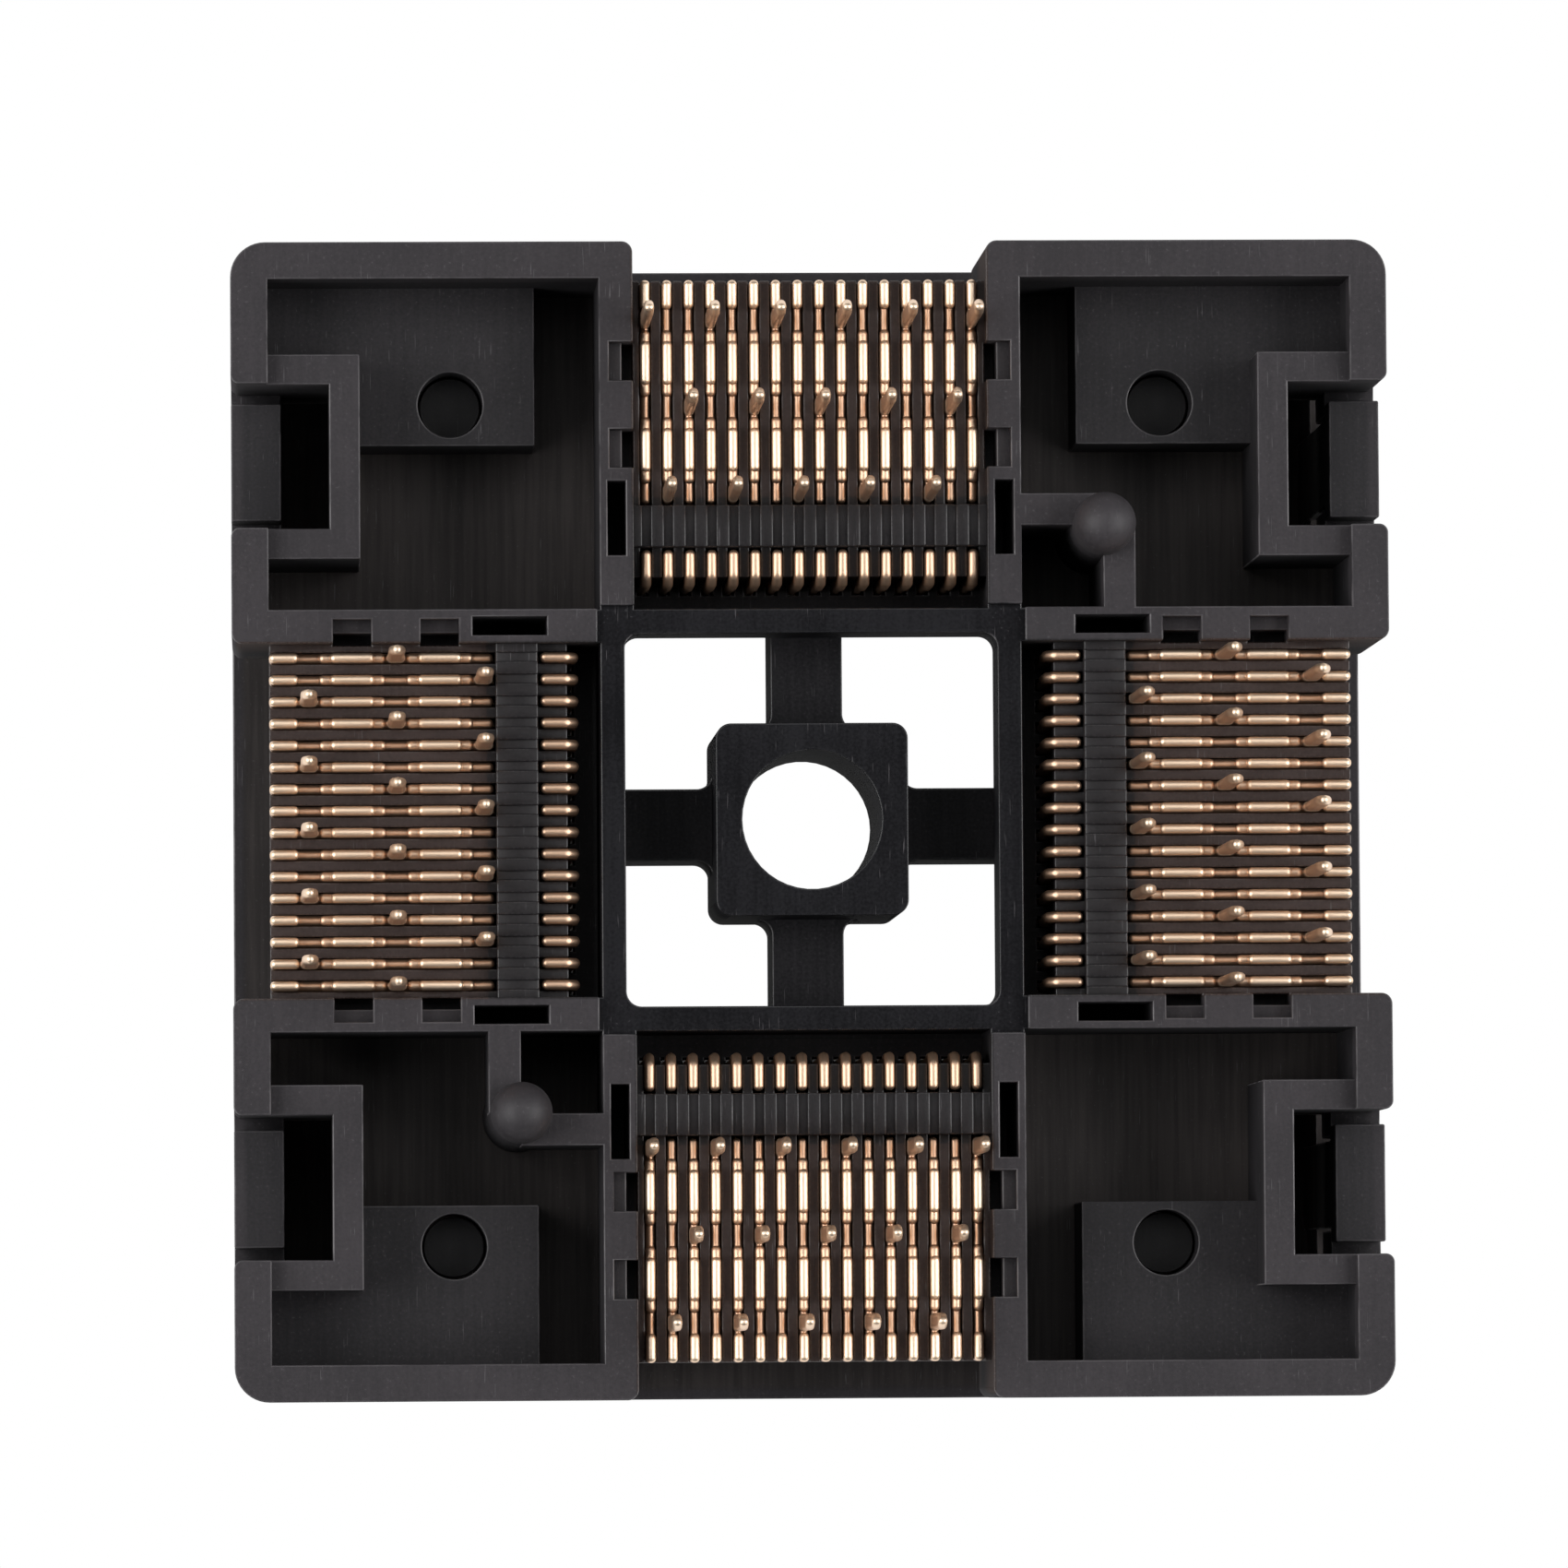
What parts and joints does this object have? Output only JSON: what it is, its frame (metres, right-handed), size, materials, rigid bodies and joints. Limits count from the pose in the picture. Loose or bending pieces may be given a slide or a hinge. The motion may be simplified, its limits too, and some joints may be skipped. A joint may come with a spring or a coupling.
{
  "type": "ic socket",
  "caption": "Open-top test socket for a fine-pitch quad flat package, with a sprung press-down cover, staggered tails and locating pegs.",
  "frame": {"origin": "centre of the cover's outer face, on the surface that the socket lies on", "axes": "+Z out of the board side, along the tails; +X to the right and +Y up in the picture"},
  "size_m": [0.0264, 0.0264, 0.0147],
  "materials": {
    "housing": "glass-filled black plastic, finely grained, edges worn light",
    "cover": "glass-filled black plastic, finely grained",
    "spring": "bright drawn spring wire",
    "contact": "stamped copper alloy with bright gold plating"
  },
  "bodies": {
    "base": {"base_housing": "housing", "north_east_spring": "spring", "north_west_spring": "spring", "south_west_spring": "spring", "south_east_spring": "spring", "north_outer_contacts_a": "contact", "north_outer_contacts_b": "contact", "north_outer_contacts_c": "contact", "north_inner_contacts_a": "contact", "north_inner_contacts_b": "contact", "north_inner_contacts_c": "contact", "north_middle_contacts_a": "contact", "north_middle_contacts_b": "contact", "north_middle_contacts_c": "contact", "west_outer_contacts_a": "contact", "west_outer_contacts_b": "contact", "west_outer_contacts_c": "contact", "west_inner_contacts_a": "contact", "west_inner_contacts_b": "contact", "west_inner_contacts_c": "contact", "west_middle_contacts_a": "contact", "west_middle_contacts_b": "contact", "west_middle_contacts_c": "contact", "south_outer_contacts_a": "contact", "south_outer_contacts_b": "contact", "south_outer_contacts_c": "contact", "south_inner_contacts_a": "contact", "south_inner_contacts_b": "contact", "south_inner_contacts_c": "contact", "south_middle_contacts_a": "contact", "south_middle_contacts_b": "contact", "south_middle_contacts_c": "contact", "east_outer_contacts_a": "contact", "east_outer_contacts_b": "contact", "east_outer_contacts_c": "contact", "east_inner_contacts_a": "contact", "east_inner_contacts_b": "contact", "east_inner_contacts_c": "contact", "east_middle_contacts_a": "contact", "east_middle_contacts_b": "contact", "east_middle_contacts_c": "contact"},
    "cover": {"cover": "cover"}
  },
  "joints": [
    {"name": "cover_slide", "type": "slide", "parent": "base", "child": "cover", "axis": [0, 0, 1], "range_m": [0, 0.002], "stiffness_N_per_m": 6000, "springref_m": -0.001, "deforming": ["north_east_spring", "north_west_spring", "south_west_spring", "south_east_spring", "north_outer_contacts_a", "north_outer_contacts_b", "north_outer_contacts_c", "north_inner_contacts_a", "north_inner_contacts_b", "north_inner_contacts_c", "north_middle_contacts_a", "north_middle_contacts_b", "north_middle_contacts_c", "west_outer_contacts_a", "west_outer_contacts_b", "west_outer_contacts_c", "west_inner_contacts_a", "west_inner_contacts_b", "west_inner_contacts_c", "west_middle_contacts_a", "west_middle_contacts_b", "west_middle_contacts_c", "south_outer_contacts_a", "south_outer_contacts_b", "south_outer_contacts_c", "south_inner_contacts_a", "south_inner_contacts_b", "south_inner_contacts_c", "south_middle_contacts_a", "south_middle_contacts_b", "south_middle_contacts_c", "east_outer_contacts_a", "east_outer_contacts_b", "east_outer_contacts_c", "east_inner_contacts_a", "east_inner_contacts_b", "east_inner_contacts_c", "east_middle_contacts_a", "east_middle_contacts_b", "east_middle_contacts_c"]}
  ]
}
